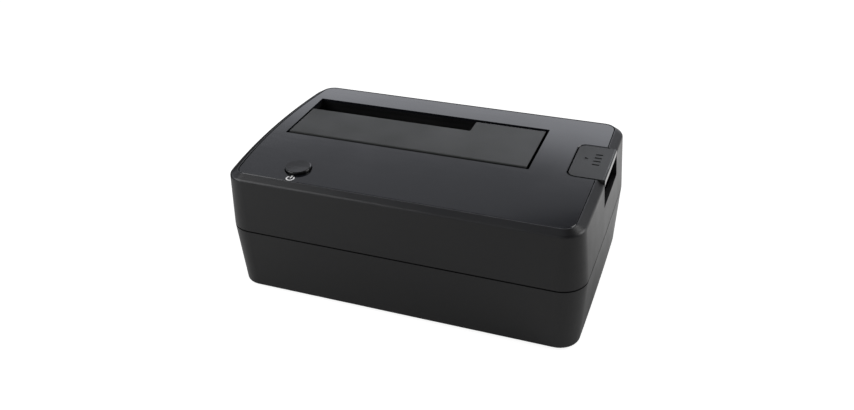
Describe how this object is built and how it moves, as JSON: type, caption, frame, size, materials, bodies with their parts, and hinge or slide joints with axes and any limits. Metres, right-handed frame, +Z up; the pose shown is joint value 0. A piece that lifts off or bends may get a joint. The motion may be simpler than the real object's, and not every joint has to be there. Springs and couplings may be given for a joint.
{
  "type": "hard drive docking station",
  "caption": "Low box-shaped dock with an upright drive bay under a notched spring flap, a push-to-eject tab, a round power button, and data and power sockets at the back.",
  "frame": {"origin": "middle of the case's footprint, on the surface the rubber feet stand on", "axes": "+X along the case towards the eject tab's end, +Y towards the back with the sockets, +Z up"},
  "size_m": [0.146, 0.0886, 0.0548],
  "materials": {
    "black_shell_plastic": "fine satin black",
    "can_aluminium": "drawn",
    "chip_plastic": "moulded epoxy",
    "circuit_board": "green solder mask",
    "connector_plastic": "matte black",
    "foot_rubber": "matte black",
    "glossy_button": "gloss black",
    "glossy_panel": "piano gloss, bluish black",
    "gold_contact": "gold plated",
    "grey_flap_plastic": "matte charcoal",
    "grey_tab_plastic": "matte charcoal",
    "inner_black_plastic": "matte black",
    "lead_jacket": "satin sleeve",
    "socket_blue_plastic": "matte blue",
    "spring_steel": "bright drawn",
    "tinned_steel": "tin plated",
    "white_plug_plastic": "off-white",
    "zinc_screw": "zinc plated"
  },
  "bodies": {
    "dock": {"base_shell": "black_shell_plastic", "board_link": "connector_plastic", "bridge_chip": "chip_plastic", "capacitors": "can_aluminium", "case_screws": "zinc_screw", "crystal": "tinned_steel", "drive_board": "circuit_board", "drive_board_screws": "zinc_screw", "drive_connector": "connector_plastic", "drive_contacts": "gold_contact", "drive_well": "inner_black_plastic", "eject_tab_spring": "spring_steel", "flap_hinge_rod": "spring_steel", "flap_spring": "spring_steel", "flash_chip": "chip_plastic", "foot_back_left": "foot_rubber", "foot_back_right": "foot_rubber", "foot_front_left": "foot_rubber", "foot_front_right": "foot_rubber", "inductors": "chip_plastic", "main_board": "circuit_board", "main_board_plug": "white_plug_plastic", "main_board_screws": "zinc_screw", "power_button_spring": "spring_steel", "power_jack": "connector_plastic", "power_jack_pin": "tinned_steel", "power_switch": "inner_black_plastic", "rocker_pin": "spring_steel", "switch_board": "circuit_board", "switch_board_plug": "white_plug_plastic", "switch_board_screws": "zinc_screw", "switch_lead": "lead_jacket", "top_panel": "glossy_panel", "upper_shell": "black_shell_plastic", "usb_contacts": "gold_contact", "usb_insert": "socket_blue_plastic", "usb_socket": "tinned_steel", "well_screws": "zinc_screw"},
    "flap": {"door_flap": "grey_flap_plastic"},
    "tab": {"eject_tab": "grey_tab_plastic"},
    "rocker": {"eject_rocker": "inner_black_plastic"},
    "button": {"power_button": "glossy_button", "switch_plunger": "white_plug_plastic"}
  },
  "joints": [
    {"name": "flap_hinge", "type": "hinge", "parent": "dock", "child": "flap", "pos_m": [0, -0.0033, 0.0506], "axis": [-1, 0, 0], "range_deg": [0, 88], "stiffness_Nm_per_rad": 0.004, "springref_deg": -68.75, "deforming": ["flap_spring"]},
    {"name": "tab_slide", "type": "slide", "parent": "dock", "child": "tab", "axis": [0, 0, -1], "range_m": [0, 0.0054], "stiffness_N_per_m": 150, "springref_m": -0.006, "deforming": ["eject_tab_spring"]},
    {"name": "rocker_pivot", "type": "hinge", "parent": "dock", "child": "rocker", "pos_m": [0.038, 0.016, 0.0126], "axis": [0, 1, 0], "range_deg": [0, 13.2]},
    {"name": "button_slide", "type": "slide", "parent": "dock", "child": "button", "axis": [0, 0, -1], "range_m": [0, 0.0012], "stiffness_N_per_m": 500, "springref_m": -0.0015, "deforming": ["power_button_spring"]}
  ],
  "couplings": [
    {"joint": "rocker_pivot", "follows": "tab_slide", "rad_per_m": 41.667}
  ]
}
